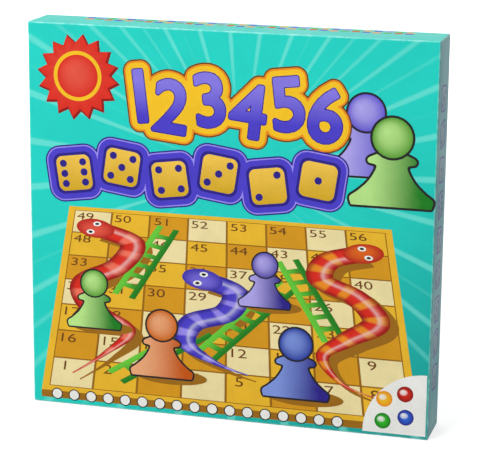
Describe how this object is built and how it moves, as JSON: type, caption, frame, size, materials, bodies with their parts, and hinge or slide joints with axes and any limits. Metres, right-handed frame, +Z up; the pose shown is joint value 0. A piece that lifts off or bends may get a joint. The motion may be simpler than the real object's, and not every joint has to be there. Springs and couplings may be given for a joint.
{
  "type": "boxed snakes and ladders game",
  "caption": "Flat lidded game box standing on edge, with a playing board, leaflet, chutes, ladders, tower, spinning wheel, counters and die in an insert.",
  "frame": {"origin": "middle of the lower side that the box stands on", "axes": "+Z up, -Y toward the lid's printed face, +X to the right as seen from the front"},
  "size_m": [0.38, 0.051, 0.363],
  "materials": {
    "greyboard": "matt",
    "lid_print": "gloss laminate",
    "tray_print": "gloss laminate",
    "board_print": "gloss laminate",
    "paper": "matt",
    "insert_card": "matt",
    "red_plastic": "gloss",
    "green_plastic": "gloss",
    "violet_plastic": "gloss",
    "yellow_plastic": "gloss",
    "blue_plastic": "gloss",
    "clear_plastic": "clear gloss",
    "die_plastic": "gloss"
  },
  "bodies": {
    "lid": {"lid_shell": "greyboard", "lid_wrap": "lid_print"},
    "tray": {"tray_shell": "greyboard", "tray_wrap": "tray_print"},
    "leaflet": {"leaflet": "paper"},
    "board": {"board_core": "greyboard", "board_print": "board_print"},
    "insert": {"insert_floor": "insert_card", "insert_frame": "insert_card", "shelf": "insert_card", "divider_slides": "insert_card", "divider_ladders": "insert_card", "divider_zigzag": "insert_card", "row_low": "insert_card", "row_middle": "insert_card", "row_high": "insert_card", "slide_curved": "red_plastic", "slide_zigzag": "red_plastic", "slide_s_left": "red_plastic", "slide_s_right": "red_plastic", "ladder_left": "green_plastic", "ladder_middle": "green_plastic", "ladder_right": "green_plastic", "support_left": "violet_plastic", "support_middle": "violet_plastic", "support_right": "violet_plastic", "tower": "violet_plastic", "wheel_base": "violet_plastic", "steps": "violet_plastic", "counter_red": "red_plastic", "counter_yellow": "yellow_plastic", "counter_blue": "blue_plastic", "counter_green": "green_plastic", "dome_red": "clear_plastic", "dome_yellow": "clear_plastic", "dome_blue": "clear_plastic", "dome_green": "clear_plastic", "die": "die_plastic"},
    "wheel": {"wheel": "violet_plastic"}
  },
  "joints": [
    {"name": "lid_pull", "type": "slide", "parent": "tray", "child": "lid", "axis": [0, -1, 0], "range_m": [0, 0.36]},
    {"name": "leaflet_lift", "type": "slide", "parent": "tray", "child": "leaflet", "axis": [0, -1, 0], "range_m": [0, 0.288]},
    {"name": "board_lift", "type": "slide", "parent": "tray", "child": "board", "axis": [0, -1, 0], "range_m": [0, 0.198]},
    {"name": "insert_lift", "type": "slide", "parent": "tray", "child": "insert", "axis": [0, -1, 0], "range_m": [0, 0.0792]},
    {"name": "wheel_spin", "type": "hinge", "parent": "insert", "child": "wheel", "pos_m": [-0.1001, 0, 0.2271], "axis": [0, -1, 0], "continuous": true}
  ],
  "couplings": [
    {"joint": "leaflet_lift", "follows": "lid_pull", "ratio": 0.8},
    {"joint": "board_lift", "follows": "lid_pull", "ratio": 0.55},
    {"joint": "insert_lift", "follows": "lid_pull", "ratio": 0.22}
  ]
}
